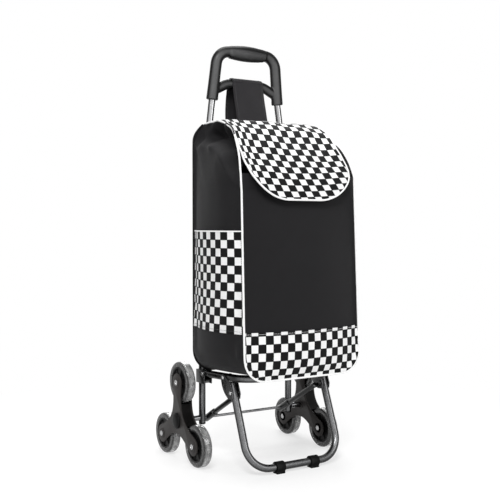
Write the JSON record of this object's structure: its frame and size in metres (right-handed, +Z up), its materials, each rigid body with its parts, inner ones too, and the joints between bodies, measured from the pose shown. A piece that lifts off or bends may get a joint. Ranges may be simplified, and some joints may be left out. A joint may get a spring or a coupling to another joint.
{
  "type": "shopping trolley",
  "caption": "Folding stair-climbing shopping trolley: bent tube frame with fold-up platform and stand, star wheels, arched handle, and a soft chequered bag with a flap.",
  "frame": {"origin": "on the ground, under the middle of the footprint", "axes": "+Z up, +Y from the bag's front towards the back of the handle, +X to the right of someone who faces the bag's front"},
  "size_m": [0.3926, 0.3714, 0.9694],
  "materials": {
    "frame_paint": "dark grey hammertone stoving enamel on steel tube and sheet",
    "bright_steel": "bright zinc plated steel",
    "handle_moulding": "fine grained black moulding",
    "black_plastic": "satin black moulding",
    "star_plastic": "satin dark grey moulding",
    "hub_plastic": "satin black moulding",
    "clear_tyre": "clear smoky polyurethane",
    "foot_rubber": "matte",
    "black_cloth": "coated polyester weave",
    "check_cloth": "coated polyester weave printed with black and white chequers"
  },
  "bodies": {
    "rear_frame": {"handle": "handle_moulding", "rear_leg_left": "frame_paint", "rear_leg_right": "frame_paint", "leg_plug_left": "black_plastic", "leg_plug_right": "black_plastic", "axle": "bright_steel", "axle_spacer_left": "bright_steel", "axle_spacer_right": "bright_steel", "hinge_bracket_left": "frame_paint", "hinge_bracket_right": "frame_paint", "hinge_stop_left": "black_plastic", "hinge_stop_right": "black_plastic", "hinge_pin_left": "bright_steel", "hinge_pin_right": "bright_steel", "bag_front": "black_cloth", "bag_back": "black_cloth", "bag_base": "black_cloth", "bag_side_left": "black_cloth", "bag_side_right": "black_cloth", "side_pocket_left": "check_cloth", "side_pocket_right": "check_cloth", "front_band": "check_cloth", "strap": "black_cloth"},
    "platform": {"platform": "frame_paint"},
    "stand": {"stand": "frame_paint", "leaf_bracket_left": "frame_paint", "leaf_bracket_right": "frame_paint", "rail_pin_left": "bright_steel", "rail_pin_right": "bright_steel", "stand_pin_left": "bright_steel", "stand_pin_right": "bright_steel", "rubber_foot_left": "foot_rubber", "rubber_foot_right": "foot_rubber"},
    "braces": {"brace_left": "frame_paint", "brace_right": "frame_paint"},
    "flap": {"flap": "check_cloth"},
    "star_left": {"star_shell_outer_left": "star_plastic", "star_shell_inner_left": "star_plastic", "hub_cap_left": "black_plastic", "wheel_bolt_left_top": "bright_steel", "wheel_bolt_left_front": "bright_steel", "wheel_bolt_left_rear": "bright_steel"},
    "wheel_left_top": {"wheel_hub_left_top": "hub_plastic", "tyre_left_top": "clear_tyre"},
    "wheel_left_front": {"wheel_hub_left_front": "hub_plastic", "tyre_left_front": "clear_tyre"},
    "wheel_left_rear": {"wheel_hub_left_rear": "hub_plastic", "tyre_left_rear": "clear_tyre"},
    "star_right": {"star_shell_outer_right": "star_plastic", "star_shell_inner_right": "star_plastic", "hub_cap_right": "black_plastic", "wheel_bolt_right_top": "bright_steel", "wheel_bolt_right_front": "bright_steel", "wheel_bolt_right_rear": "bright_steel"},
    "wheel_right_top": {"wheel_hub_right_top": "hub_plastic", "tyre_right_top": "clear_tyre"},
    "wheel_right_front": {"wheel_hub_right_front": "hub_plastic", "tyre_right_front": "clear_tyre"},
    "wheel_right_rear": {"wheel_hub_right_rear": "hub_plastic", "tyre_right_rear": "clear_tyre"}
  },
  "joints": [
    {"name": "platform_fold", "type": "hinge", "parent": "rear_frame", "child": "platform", "pos_m": [0, 0.04129, 0.1987], "axis": [-1, 0, 0], "range_deg": [0, 80], "deforming": ["bag_front", "bag_back", "bag_base", "bag_side_left", "bag_side_right", "side_pocket_left", "side_pocket_right", "front_band"]},
    {"name": "stand_fold", "type": "hinge", "parent": "platform", "child": "stand", "pos_m": [0, -0.05371, 0.20488], "axis": [1, 0, 0], "range_deg": [0, 100]},
    {"name": "brace_swing", "type": "hinge", "parent": "rear_frame", "child": "braces", "pos_m": [0, 0.06129, 0.0919], "axis": [-1, 0, 0], "range_deg": [0, 43.28]},
    {"name": "flap_open", "type": "hinge", "parent": "rear_frame", "child": "flap", "pos_m": [0, 0.01947, 0.778], "axis": [-1, 0, 0], "range_deg": [0, 100]},
    {"name": "star_left_spin", "type": "hinge", "parent": "rear_frame", "child": "star_left", "pos_m": [-0.1743, 0.06129, 0.0919], "axis": [1, 0, 0], "continuous": true},
    {"name": "wheel_left_top_spin", "type": "hinge", "parent": "star_left", "child": "wheel_left_top", "pos_m": [-0.1743, 0.06129, 0.1807], "axis": [1, 0, 0], "continuous": true},
    {"name": "wheel_left_front_spin", "type": "hinge", "parent": "star_left", "child": "wheel_left_front", "pos_m": [-0.1743, -0.01561, 0.0475], "axis": [1, 0, 0], "continuous": true},
    {"name": "wheel_left_rear_spin", "type": "hinge", "parent": "star_left", "child": "wheel_left_rear", "pos_m": [-0.1743, 0.1382, 0.0475], "axis": [1, 0, 0], "continuous": true},
    {"name": "star_right_spin", "type": "hinge", "parent": "rear_frame", "child": "star_right", "pos_m": [0.1743, 0.06129, 0.0919], "axis": [1, 0, 0], "continuous": true},
    {"name": "wheel_right_top_spin", "type": "hinge", "parent": "star_right", "child": "wheel_right_top", "pos_m": [0.1743, 0.06129, 0.1807], "axis": [1, 0, 0], "continuous": true},
    {"name": "wheel_right_front_spin", "type": "hinge", "parent": "star_right", "child": "wheel_right_front", "pos_m": [0.1743, -0.01561, 0.0475], "axis": [1, 0, 0], "continuous": true},
    {"name": "wheel_right_rear_spin", "type": "hinge", "parent": "star_right", "child": "wheel_right_rear", "pos_m": [0.1743, 0.1382, 0.0475], "axis": [1, 0, 0], "continuous": true}
  ],
  "couplings": [
    {"joint": "stand_fold", "follows": "platform_fold", "ratio": 1.25},
    {"joint": "brace_swing", "follows": "platform_fold", "ratio": 0.541}
  ]
}
